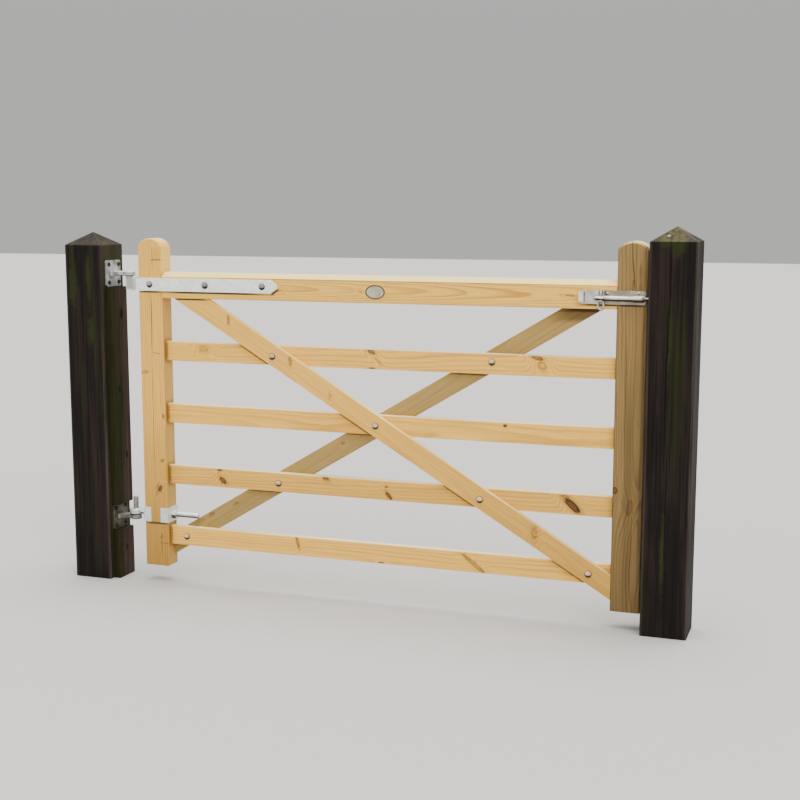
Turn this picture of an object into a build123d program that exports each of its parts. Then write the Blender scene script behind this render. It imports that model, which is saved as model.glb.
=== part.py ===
from build123d import *

import math
import os

# Five-bar timber entrance gate between its two posts, in millimetres.
# X runs from the hanging post to the latch post, Y from the gate's front to its back, and Z up.
# The origin is the middle of the hanging post's foot, at ground level.
# The middle of every thickness, of the posts and of the gate, lies on the plane Y = 0.

# Posts
post_size = 150
hanging_post_eaves = 1241
latch_post_eaves = 1271
post_cap_rise = 47
post_cap_flat = 3
hinge_gap = 130
latch_gap = 7

# Gate leaf: the stiles and the top rail are as deep as each other, and the lower rails are boards
leaf_width = 1834
leaf_clearance = 60
leaf_depth = 70
hanging_stile_width = 94
hanging_stile_horn = 90
hanging_stile_rise = 30
shutting_stile_width = 98
shutting_stile_horn = 100
shutting_stile_rise = 24
shutting_stile_bevel = 6
board_width = 70
board_thickness = 22
board_gap = 158.5
board_round = 2
bottom_rail_height = 80
lower_rail_count = 4
top_rail_face = 76
top_rail_bevel_rise = 17
top_rail_ridge = 10
tenon_length = 50
top_tenon_height = 50
edge_round = 3

# Cross braces, placed by where their middle lines meet a stile and the top rail
brace_foot_height = 77
brace_head_inset = 114

# Hinge line and the two hooks on plates
pin_offset = 72
pin_diameter = 19
pin_chamfer = 2.4
hook_plate_size = 95
hook_plate_thickness = 6
hook_plate_corner = 8
hook_bolt_hole = 11
hook_bolt_inset = 15
hook_arm_width = 30
hook_arm_thickness = 16
hook_root_width = 42
hook_root_length = 9
hook_boss_diameter = 42
hook_neck_round = 10
hook_collar_diameter = 28
hook_collar_height = 3
lower_pin_rise = 69
upper_pin_drop = 50
seat_gap = 0.5
upper_hook_gap = 2

# Double strap hinge at the top
strap_height = 46
strap_thickness = 4
strap_length = 551
strap_crank_length = 12
strap_tip_length = 27
strap_tip_width = 18
strap_bolt_pitch = 223
strap_bolt_edge = 47
strap_bolt_hole = 10.5
strap_below_ridge = 45
pin_running_gap = 0.1

# Adjustable eye bolt at the bottom
eye_outer_diameter = 48
eye_height = 20
rod_diameter = 19
rod_reach = 263
rod_chamfer = 2
rod_hole_gap = 1
nut_width = 30
nut_height = 17
nut_chamfer = 1.5
saddle_thickness = 4
saddle_height = 54
saddle_wrap = 27
saddle_above_rail = 14.5

# Packing boards nailed to the hanging post above and below the lower hook
packing_thickness = 28
packing_width = 105
packing_joint = 2

# Sliding bolt on the face of the top rail and the shutting stile
latch_plate_length = 215
latch_plate_height = 44
latch_plate_thickness = 3
latch_plate_setback = 6
latch_plate_round = 14
latch_plate_corner = 6
latch_below_ridge = 54.5
latch_bar_drop = 3.5
latch_lug_run = 18
latch_lug_rise = 13
latch_bar_diameter = 12
latch_bar_chamfer = 1.2
latch_bar_clearance = 5
latch_engagement = 16
latch_travel = 30
latch_guide_length = 130
latch_guide_wall = 2.5
latch_guide_end = 8
latch_collar_length = 36
latch_collar_swell = 2
latch_flange_round = 6
latch_running_gap = 0.4
latch_hole_gap = 1
latch_hole_extra = 6
handle_rod = 6
handle_rise = 21
handle_loop_height = 33
handle_loop_width = 24
handle_inset = 20
handle_gap = 0.3

# Places worked out from the sizes above
post_face = post_size / 2
pin_x = post_face + pin_offset
leaf_start = post_face + hinge_gap
leaf_end = leaf_start + leaf_width
inner_start = leaf_start + hanging_stile_width
inner_end = leaf_end - shutting_stile_width
latch_post_x = leaf_end + latch_gap + post_size / 2
leaf_front = -leaf_depth / 2
rail_pitch = board_width + board_gap
top_rail_bottom = leaf_clearance + bottom_rail_height + lower_rail_count * rail_pitch
top_rail_height = top_rail_face + top_rail_bevel_rise
top_rail_ridge_level = top_rail_bottom + top_rail_height
strap_level = top_rail_ridge_level - strap_below_ridge
upper_hook_rise = upper_hook_gap + hook_collar_height + hook_arm_thickness / 2
upper_hook_height = strap_level + strap_height / 2 + upper_hook_rise
bottom_rail_top = leaf_clearance + bottom_rail_height + board_width
eye_level = bottom_rail_top + saddle_above_rail + saddle_height / 2
lower_hook_drop = seat_gap + hook_collar_height + hook_arm_thickness / 2
lower_hook_height = eye_level - eye_height / 2 - lower_hook_drop
rail_levels = [
    leaf_clearance + bottom_rail_height + board_width / 2 + rail_pitch * i
    for i in range(lower_rail_count)
]
plate_level = top_rail_ridge_level - latch_below_ridge
bar_level = plate_level - latch_bar_drop
guide_base = leaf_front - latch_plate_thickness
bore_radius = latch_bar_diameter / 2 + latch_running_gap
bar_y = guide_base - bore_radius

os.makedirs("parts", exist_ok=True)


def save(part, label):
    part.label = label
    export_step(part, f"parts/{label}.step")


# The two square posts, each with a low four-way weathered top. The latch post has a
# blind hole in the face beside the gate, which the bolt shoots into.
cap_slope = math.degrees(math.atan2(post_size / 2, post_cap_rise))
cap_height = post_cap_rise * (1 - post_cap_flat / post_size)
with BuildPart() as hanging_post:
    with BuildSketch():
        Rectangle(post_size, post_size)
    extrude(amount=hanging_post_eaves)
    chamfer(hanging_post.edges().filter_by(Axis.Z), edge_round)
    extrude(hanging_post.faces().sort_by(Axis.Z)[-1], amount=cap_height, taper=cap_slope)
save(hanging_post.part, "hanging_post")

with BuildPart() as latch_post:
    with BuildSketch(Plane.XY.move(Location((latch_post_x, 0, 0)))):
        Rectangle(post_size, post_size)
    extrude(amount=latch_post_eaves)
    chamfer(latch_post.edges().filter_by(Axis.Z), edge_round)
    extrude(latch_post.faces().sort_by(Axis.Z)[-1], amount=cap_height, taper=cap_slope)
    hole_face = Plane((leaf_end + latch_gap, bar_y, bar_level), z_dir=(1, 0, 0))
    with BuildSketch(hole_face):
        Circle(latch_bar_diameter / 2 + latch_hole_gap)
    extrude(amount=latch_engagement + latch_hole_extra, mode=Mode.SUBTRACT)
save(latch_post.part, "latch_post")


def packing_board(bottom, top):
    with BuildPart() as board:
        with BuildSketch(Plane.XY.offset(bottom)):
            with Locations((post_face + packing_thickness / 2, 0)):
                Rectangle(packing_thickness, packing_width)
        extrude(amount=top - bottom)
        chamfer(board.edges().filter_by(Axis.Z).group_by(Axis.X)[-1], edge_round)
    return board.part


half_plate = hook_plate_size / 2
upper_packing = packing_board(
    lower_hook_height + half_plate + packing_joint, upper_hook_height - half_plate - packing_joint
)
save(upper_packing, "upper_packing")
lower_packing = packing_board(0, lower_hook_height - half_plate - packing_joint)
save(lower_packing, "lower_packing")


# The hooks on plates. The lower pin points up and carries the leaf, and the upper hook is
# turned over, so that its pin points down and the leaf can't be lifted off. Each arm ends
# in a round boss, and the pin stands on it in a low collar.
def hook_plate(level):
    with BuildPart() as plate:
        with BuildSketch(Plane((post_face, 0, level), x_dir=(0, 1, 0), z_dir=(1, 0, 0))):
            RectangleRounded(hook_plate_size, hook_plate_size, hook_plate_corner)
            with GridLocations(
                hook_plate_size - 2 * hook_bolt_inset, hook_plate_size - 2 * hook_bolt_inset, 2, 2
            ):
                Circle(hook_bolt_hole / 2, mode=Mode.SUBTRACT)
        extrude(amount=hook_plate_thickness)
    return plate.part


def hook_arm(level, pin_length, up):
    arm_root = post_face + hook_plate_thickness
    boss_radius = hook_boss_diameter / 2
    with BuildPart() as arm:
        with BuildSketch(Plane.XY.offset(level - hook_arm_thickness / 2)) as outline:
            with BuildLine():
                Polyline(
                    (arm_root, -hook_root_width / 2),
                    (arm_root + hook_root_length, -hook_arm_width / 2),
                    (pin_x, -hook_arm_width / 2),
                    (pin_x, hook_arm_width / 2),
                    (arm_root + hook_root_length, hook_arm_width / 2),
                    (arm_root, hook_root_width / 2),
                    close=True,
                )
            make_face()
            with Locations((pin_x, 0)):
                Circle(boss_radius)
            neck = outline.vertices().filter_by_position(Axis.X, pin_x - boss_radius, pin_x)
            fillet(neck, hook_neck_round)
        extrude(amount=hook_arm_thickness)
        rim = arm.edges().filter_by(GeomType.CIRCLE).filter_by(lambda edge: edge.radius > hook_neck_round)
        fillet(rim, edge_round)
        pin_side = 1 if up else -1
        pin_seat = Plane((pin_x, 0, level + pin_side * hook_arm_thickness / 2), z_dir=(0, 0, pin_side))
        for radius, length in (
            (hook_collar_diameter / 2, hook_collar_height),
            (pin_diameter / 2, pin_length),
        ):
            with BuildSketch(pin_seat):
                Circle(radius)
            extrude(amount=length)
        tip = arm.faces().filter_by(Axis.Z).sort_by(Axis.Z)[-1 if up else 0]
        chamfer(tip.edges(), pin_chamfer)
    return arm.part


save(hook_plate(upper_hook_height), "upper_hook_plate")
save(hook_arm(upper_hook_height, upper_pin_drop, up=False), "upper_hook")
save(hook_plate(lower_hook_height), "lower_hook_plate")
save(hook_arm(lower_hook_height, lower_pin_rise, up=True), "lower_hook")


# The stiles: arched on top and mortised for the rails, seen from the front
def stile(left, width, horn, rise, bevel):
    right = left + width
    shoulder = top_rail_ridge_level + horn
    with BuildPart() as upright:
        with BuildSketch(Plane.XZ.offset(-leaf_depth / 2)):
            with BuildLine():
                Polyline(
                    (left, shoulder),
                    (left, leaf_clearance),
                    (right, leaf_clearance),
                    (right, shoulder),
                )
                ThreePointArc((right, shoulder), ((left + right) / 2, shoulder + rise), (left, shoulder))
            make_face()
        extrude(amount=leaf_depth)
        chamfer(upright.edges().filter_by(GeomType.CIRCLE), bevel)
        sides = upright.edges().filter_by(Axis.Z)
        chamfer(sides.group_by(SortBy.LENGTH)[-1], edge_round)
    return upright.part


def tenon(rail_face, direction, level, height):
    with BuildPart() as peg:
        with BuildSketch(Plane((rail_face, 0, level), x_dir=(0, 1, 0), z_dir=(direction, 0, 0))):
            Rectangle(board_thickness, height)
        extrude(amount=tenon_length)
    return peg.part


top_tenon_level = top_rail_bottom + top_rail_face / 2
start_tenons = [tenon(inner_start, -1, level, board_width) for level in rail_levels]
start_tenons.append(tenon(inner_start, -1, top_tenon_level, top_tenon_height))
end_tenons = [tenon(inner_end, 1, level, board_width) for level in rail_levels]
end_tenons.append(tenon(inner_end, 1, top_tenon_level, top_tenon_height))

with BuildPart() as hanging_stile:
    add(stile(leaf_start, hanging_stile_width, hanging_stile_horn, hanging_stile_rise, edge_round))
    add(start_tenons, mode=Mode.SUBTRACT)
    with BuildSketch(Plane((leaf_start, 0, eye_level), z_dir=(1, 0, 0))):
        Circle(rod_diameter / 2 + rod_hole_gap)
    extrude(amount=hanging_stile_width, mode=Mode.SUBTRACT)
save(hanging_stile.part, "hanging_stile")

with BuildPart() as shutting_stile:
    add(
        stile(
            inner_end, shutting_stile_width, shutting_stile_horn, shutting_stile_rise, shutting_stile_bevel
        )
    )
    add(end_tenons, mode=Mode.SUBTRACT)
save(shutting_stile.part, "shutting_stile")

# The four lower rails are boards let into the middle of the stiles
for number, level in enumerate(reversed(rail_levels), start=2):
    with BuildPart() as rail:
        rail_end = Plane((inner_start - tenon_length, 0, level), x_dir=(0, 1, 0), z_dir=(1, 0, 0))
        with BuildSketch(rail_end):
            Rectangle(board_thickness, board_width)
        extrude(amount=inner_end - inner_start + 2 * tenon_length)
        fillet(rail.edges().filter_by(Axis.X), board_round)
    save(rail.part, f"rail_{number}")

# The top rail is as deep as the stiles, bevelled both ways to shed rain
with BuildPart() as top_rail:
    with BuildSketch(Plane((inner_start, 0, 0), x_dir=(0, 1, 0), z_dir=(1, 0, 0))):
        with BuildLine():
            Polyline(
                (-leaf_depth / 2, top_rail_bottom),
                (leaf_depth / 2, top_rail_bottom),
                (leaf_depth / 2, top_rail_bottom + top_rail_face),
                (top_rail_ridge / 2, top_rail_ridge_level),
                (-top_rail_ridge / 2, top_rail_ridge_level),
                (-leaf_depth / 2, top_rail_bottom + top_rail_face),
                close=True,
            )
        make_face()
    extrude(amount=inner_end - inner_start)
    fillet(top_rail.edges().filter_by(Axis.X).sort_by(Axis.Z)[2:], board_round)
    add(start_tenons[-1])
    add(end_tenons[-1])
save(top_rail.part, "top_rail")

# The braces cross in front of the rails and behind them. Each is cut plumb against one
# stile and level under the top rail.
brace_foot = (inner_end, leaf_clearance + brace_foot_height)
brace_head = (inner_start + brace_head_inset, top_rail_bottom)
brace_run = brace_foot[0] - brace_head[0]
brace_drop = brace_head[1] - brace_foot[1]
brace_slope = math.degrees(math.atan2(brace_drop, brace_run))
brace_length = math.hypot(brace_run, brace_drop)
brace_middle = ((brace_foot[0] + brace_head[0]) / 2, (brace_foot[1] + brace_head[1]) / 2)
with BuildPart() as front_brace:
    with BuildSketch(Plane.XZ.offset(board_thickness / 2)):
        with Locations(Location((*brace_middle, 0), (0, 0, -brace_slope))):
            Rectangle(brace_length + leaf_width, board_width)
        with Locations(((inner_start + inner_end) / 2, top_rail_bottom / 2)):
            Rectangle(inner_end - inner_start, top_rail_bottom, mode=Mode.INTERSECT)
    extrude(amount=board_thickness)
    fillet(front_brace.edges().sort_by(SortBy.LENGTH)[-4:], board_round)
save(front_brace.part, "front_brace")

with BuildPart() as rear_brace:
    between_stiles = Plane(((inner_start + inner_end) / 2, 0, 0), z_dir=(1, 0, 0))
    mirror(mirror(front_brace.part, about=between_stiles, mode=Mode.PRIVATE), about=Plane.XZ)
save(rear_brace.part, "rear_brace")

# The double strap hinge: one strip folded round the pin and pinched behind it, then
# cranked out to both faces of the top rail, with clipped ends
eye_inner = pin_diameter / 2 + pin_running_gap
eye_outer = eye_inner + strap_thickness
strap_inner_y = leaf_depth / 2
strap_outer_y = strap_inner_y + strap_thickness
strap_end_x = leaf_start + strap_length
crank_end = leaf_start - strap_crank_length
with BuildPart() as strap_hinge:
    with BuildSketch(Plane.XY.offset(strap_level - strap_height / 2)):
        with Locations((pin_x, 0)):
            Circle(eye_outer)
        for side in (1, -1):
            with BuildLine():
                Polyline(
                    (pin_x, 0),
                    (pin_x, side * eye_outer / 2),
                    (pin_x + eye_inner, side * strap_thickness),
                    (crank_end, side * strap_outer_y),
                    (strap_end_x, side * strap_outer_y),
                    (strap_end_x, side * strap_inner_y),
                    (crank_end + strap_thickness / 2, side * strap_inner_y),
                    (pin_x + eye_outer, 0),
                    close=True,
                )
            make_face()
        with Locations((pin_x, 0)):
            Circle(eye_inner, mode=Mode.SUBTRACT)
    extrude(amount=strap_height)
    bends = strap_hinge.edges().filter_by(Axis.Z)
    crank_bends = bends.filter_by_position(Axis.X, crank_end - strap_thickness, crank_end + strap_thickness)
    fillet(crank_bends, strap_thickness)
    for leg in (0, 1):
        tip = strap_hinge.faces().sort_by(Axis.X)[-2:].sort_by(Axis.Y)[leg]
        chamfer(tip.edges().filter_by(Axis.Y), strap_tip_width, strap_tip_length, reference=tip)
    with BuildSketch(Plane.XZ.offset(strap_outer_y)):
        for i in range(3):
            with Locations((leaf_start + strap_bolt_edge + i * strap_bolt_pitch, strap_level)):
                Circle(strap_bolt_hole / 2)
    extrude(amount=-2 * strap_outer_y, mode=Mode.SUBTRACT)
save(strap_hinge.part, "strap_hinge")

# The adjustable eye bolt through the hanging stile, with a saddle and a nut on each side
with BuildPart() as eye_bolt:
    with BuildSketch(Plane.XY.offset(eye_level - eye_height / 2)):
        with Locations((pin_x, 0)):
            Circle(eye_outer_diameter / 2)
    extrude(amount=eye_height)
    fillet(eye_bolt.edges().filter_by(GeomType.CIRCLE), edge_round)
    with BuildSketch(Plane((pin_x, 0, eye_level), z_dir=(1, 0, 0))):
        Circle(rod_diameter / 2)
    extrude(amount=rod_reach)
    chamfer(eye_bolt.faces().sort_by(Axis.X)[-1].edges(), rod_chamfer)
    with BuildSketch(Plane.XY.offset(eye_level - eye_height / 2)):
        with Locations((pin_x, 0)):
            Circle(eye_inner)
    extrude(amount=eye_height, mode=Mode.SUBTRACT)
save(eye_bolt.part, "eye_bolt")


# A saddle is a strip bent round the stile's edge, so that its nut can't crush the wood
def saddle(stile_face, inward):
    depth = leaf_depth / 2
    outer = stile_face - inward * saddle_thickness
    wrap = stile_face + inward * saddle_wrap
    with BuildPart() as strip:
        with BuildSketch(Plane.XY.offset(eye_level - saddle_height / 2)):
            with BuildLine():
                Polyline(
                    (outer, -depth - saddle_thickness),
                    (wrap, -depth - saddle_thickness),
                    (wrap, -depth),
                    (stile_face, -depth),
                    (stile_face, depth),
                    (wrap, depth),
                    (wrap, depth + saddle_thickness),
                    (outer, depth + saddle_thickness),
                    close=True,
                )
            make_face()
        extrude(amount=saddle_height)
        corners = strip.edges().filter_by(Axis.Z).group_by(Axis.X)[0 if inward > 0 else -1]
        fillet(corners, saddle_thickness)
        with BuildSketch(Plane((stile_face, 0, eye_level), z_dir=(-inward, 0, 0))):
            Circle(rod_diameter / 2 + rod_hole_gap)
        extrude(amount=saddle_thickness, mode=Mode.SUBTRACT)
    return strip.part


def rod_nut(face, direction):
    nut_seat = Plane((face, 0, eye_level), x_dir=(0, 1, 0), z_dir=(direction, 0, 0))
    with BuildPart() as nut:
        with BuildSketch(nut_seat):
            RegularPolygon(nut_width / 2, 6, major_radius=False)
        extrude(amount=nut_height)
        chamfer(nut.faces().filter_by(Axis.X).edges(), nut_chamfer)
        with BuildSketch(nut_seat):
            Circle(rod_diameter / 2)
        extrude(amount=nut_height, mode=Mode.SUBTRACT)
    return nut.part


save(saddle(leaf_start, 1), "outer_saddle")
save(saddle(inner_start, -1), "inner_saddle")
save(rod_nut(leaf_start - saddle_thickness, -1), "outer_nut")
save(rod_nut(inner_start + saddle_thickness, 1), "inner_nut")

# The sliding bolt. Its back plate lies on the top rail and the stile, and its far end is
# rounded and turned up as the bar's stop.
plate_end = leaf_end - latch_plate_setback
plate_start = plate_end - latch_plate_length
lug_bend = plate_start + latch_lug_run
with BuildPart() as latch_plate:
    with BuildSketch(Plane.XY.offset(plate_level - latch_plate_height / 2)):
        with BuildLine():
            bent_strip = Polyline(
                (plate_end, leaf_front),
                (lug_bend, leaf_front),
                (plate_start, leaf_front - latch_lug_rise),
            )
            offset(bent_strip, amount=latch_plate_thickness, side=Side.LEFT)
        make_face()
    extrude(amount=latch_plate_height)
    corners = latch_plate.edges().filter_by(Axis.Z, reverse=True)
    fillet(corners.group_by(Axis.X)[-1], latch_plate_corner)
    tongue_end = latch_plate.faces().sort_by(Axis.X)[0]
    fillet(tongue_end.edges().filter_by(Axis.Z, reverse=True), latch_plate_round)
save(latch_plate.part, "latch_plate")

# The guide is a strip pressed over the bar, with a flange screwed down above and below it
# and a swollen collar where the bar comes out
guide_end = leaf_end - latch_guide_end
guide_start = guide_end - latch_guide_length
with BuildPart() as latch_guide:
    for start, length, swell in (
        (guide_start, latch_guide_length, 0),
        (guide_end - latch_collar_length, latch_collar_length, latch_collar_swell),
    ):
        barrel_radius = bore_radius + latch_guide_wall + swell
        with BuildSketch(Plane((start, guide_base, bar_level), x_dir=(0, 0, 1), z_dir=(1, 0, 0))):
            with Locations((0, bore_radius)):
                Circle(barrel_radius)
            Rectangle(2 * barrel_radius, bore_radius, align=(Align.CENTER, Align.MIN))
            with Locations((latch_bar_drop, 0)):
                Rectangle(latch_plate_height, latch_guide_wall, align=(Align.CENTER, Align.MIN))
            with Locations((0, bore_radius)):
                Circle(bore_radius, mode=Mode.SUBTRACT)
            Rectangle(2 * bore_radius, bore_radius, align=(Align.CENTER, Align.MIN), mode=Mode.SUBTRACT)
            with Locations((latch_bar_drop, 0)):
                Rectangle(
                    latch_plate_height, leaf_depth, align=(Align.CENTER, Align.MIN), mode=Mode.INTERSECT
                )
        extrude(amount=length)
    flange_corners = latch_guide.edges().filter_by(Axis.Y).filter_by(
        lambda edge: abs(edge.center().Z - bar_level) > barrel_radius + latch_collar_swell
    )
    fillet(flange_corners, latch_flange_round)
save(latch_guide.part, "latch_guide")

# The round bar is shown shot into the latch post. A rod through it ends in the loop that
# draws it back, until the bar's end meets the turned-up stop.
bar_start = lug_bend + latch_bar_clearance + latch_travel
bar_end = leaf_end + latch_gap + latch_engagement
handle_x = bar_start + handle_inset
with BuildPart() as latch_bar:
    with BuildSketch(Plane((bar_start, bar_y, bar_level), z_dir=(1, 0, 0))):
        Circle(latch_bar_diameter / 2)
    extrude(amount=bar_end - bar_start)
    chamfer(latch_bar.faces().filter_by(Axis.X).edges(), latch_bar_chamfer)
    with BuildSketch(Plane.XY.offset(bar_level - latch_bar_diameter)):
        with Locations((handle_x, bar_y)):
            Circle(handle_rod / 2 + handle_gap)
    extrude(amount=2 * latch_bar_diameter, mode=Mode.SUBTRACT)
save(latch_bar.part, "latch_bar")

loop_top = bar_level - latch_bar_diameter / 2 - handle_gap - handle_rod / 2
loop_radius = (handle_loop_width - handle_rod) / 2
loop_side = handle_loop_height - handle_rod - 2 * loop_radius
with BuildPart() as latch_handle:
    with BuildLine(Plane.XZ.offset(-bar_y)) as loop:
        right_top = (handle_x + loop_radius, loop_top - loop_radius)
        left_top = (handle_x - loop_radius, loop_top - loop_radius)
        right_foot = (handle_x + loop_radius, loop_top - loop_radius - loop_side)
        left_foot = (handle_x - loop_radius, loop_top - loop_radius - loop_side)
        ThreePointArc(right_top, (handle_x, loop_top), left_top)
        Line(left_top, left_foot)
        ThreePointArc(left_foot, (handle_x, loop_top - 2 * loop_radius - loop_side), right_foot)
        Line(right_foot, right_top)
    with BuildSketch(Plane((right_top[0], bar_y, right_top[1]), z_dir=(0, 0, 1))):
        Circle(handle_rod / 2)
    sweep(path=loop.wire())
    with BuildSketch(Plane.XY.offset(loop_top)):
        with Locations((handle_x, bar_y)):
            Circle(handle_rod / 2)
    extrude(amount=bar_level + latch_bar_diameter / 2 + handle_rise - loop_top)
save(latch_handle.part, "latch_handle")
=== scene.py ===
import bmesh
import bpy
import math
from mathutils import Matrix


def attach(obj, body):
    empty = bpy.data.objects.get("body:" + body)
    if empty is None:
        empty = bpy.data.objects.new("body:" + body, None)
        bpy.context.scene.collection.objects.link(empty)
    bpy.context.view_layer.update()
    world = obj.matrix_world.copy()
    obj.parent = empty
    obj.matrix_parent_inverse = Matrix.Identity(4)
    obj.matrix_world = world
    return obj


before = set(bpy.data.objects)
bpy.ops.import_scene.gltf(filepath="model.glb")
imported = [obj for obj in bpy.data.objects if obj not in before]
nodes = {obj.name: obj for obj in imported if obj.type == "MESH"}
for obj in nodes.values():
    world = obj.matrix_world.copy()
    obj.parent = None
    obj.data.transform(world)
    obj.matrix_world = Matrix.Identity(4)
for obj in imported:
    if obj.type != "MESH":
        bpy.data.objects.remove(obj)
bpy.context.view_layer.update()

# Camera
# The view is from in front of the gate, to its right and at head height, turned a little
# down and to the left.
camera_place = (2.684, -4.199, 1.3735)
camera_down = math.radians(8.324)
camera_left = math.radians(19.51)
camera_lens = 58.97
camera_sensor = 36
bpy.ops.object.camera_add(location=camera_place, rotation=(math.pi / 2 - camera_down, 0, camera_left))
camera = bpy.context.object
camera.name = "camera"
camera.data.lens = camera_lens
camera.data.sensor_width = camera_sensor
bpy.context.scene.camera = camera

# Light
# Soft light from all round, brightest overhead, with one broad sun high on the right that
# warms the timber, one overhead that whitens the tops of the rails, and a weak one from the left.
level_light = (0.66, 0.66, 0.65, 1)
overhead_light = (1.5, 1.52, 1.55, 1)
all_round_strength = 0.8
sky = bpy.data.worlds.new("sky")
bpy.context.scene.world = sky
sky.use_nodes = True
sky_tree = sky.node_tree
sky_height = sky_tree.nodes.new("ShaderNodeSeparateXYZ")
sky_tree.links.new(sky_tree.nodes.new("ShaderNodeTexCoord").outputs["Generated"], sky_height.inputs[0])
sky_blend = sky_tree.nodes.new("ShaderNodeMapRange")
sky_blend.interpolation_type = "SMOOTHSTEP"
sky_blend.inputs["From Min"].default_value = 0.1
sky_blend.inputs["From Max"].default_value = 0.9
sky_tree.links.new(sky_height.outputs["Z"], sky_blend.inputs["Value"])
sky_colour = sky_tree.nodes.new("ShaderNodeMix")
sky_colour.data_type = "RGBA"
sky_tree.links.new(sky_blend.outputs[0], sky_colour.inputs[0])
sky_colour.inputs[6].default_value = level_light
sky_colour.inputs[7].default_value = overhead_light
sky_tree.links.new(sky_colour.outputs[2], sky_tree.nodes["Background"].inputs["Color"])
sky_tree.nodes["Background"].inputs["Strength"].default_value = all_round_strength


def soft_sun(name, from_side, strength, spread_angle, colour):
    """A broad sun that shines from the side that the vector points to."""
    bpy.ops.object.light_add(type="SUN", location=from_side)
    light = bpy.context.object
    light.name = name
    light.data.energy = strength
    light.data.angle = math.radians(spread_angle)
    light.data.color = colour
    light.rotation_euler = (
        math.atan2(math.hypot(from_side[0], from_side[1]), from_side[2]),
        0,
        math.atan2(from_side[1], from_side[0]) + math.pi / 2,
    )


soft_sun("key_light", (2.6, -3.0, 2.9), strength=1.5, spread_angle=35, colour=(1, 0.97, 0.9))
soft_sun("top_light", (0.3, 0.5, 5.0), strength=3.9, spread_angle=45, colour=(1, 0.985, 0.96))
soft_sun("fill_light", (-3.0, -4.0, 2.0), strength=0.5, spread_angle=60, colour=(0.97, 0.98, 1))

# Floor
# A wide, plain, pale studio floor. It lies just under the feet of the posts, and is no part
# of the gate.
floor_width = 60
floor_drop = 0.0005
floor_grey = (0.5, 0.49, 0.47, 1)
bpy.ops.mesh.primitive_plane_add(size=floor_width, location=(1, 0, -floor_drop))
floor = bpy.context.object
floor.name = "floor"
floor_paint = bpy.data.materials.new("floor_paint")
floor_paint.use_nodes = True
floor_shader = floor_paint.node_tree.nodes["Principled BSDF"]
floor_shader.inputs["Base Color"].default_value = floor_grey
floor_shader.inputs["Roughness"].default_value = 0.85
floor.data.materials.append(floor_paint)


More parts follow.
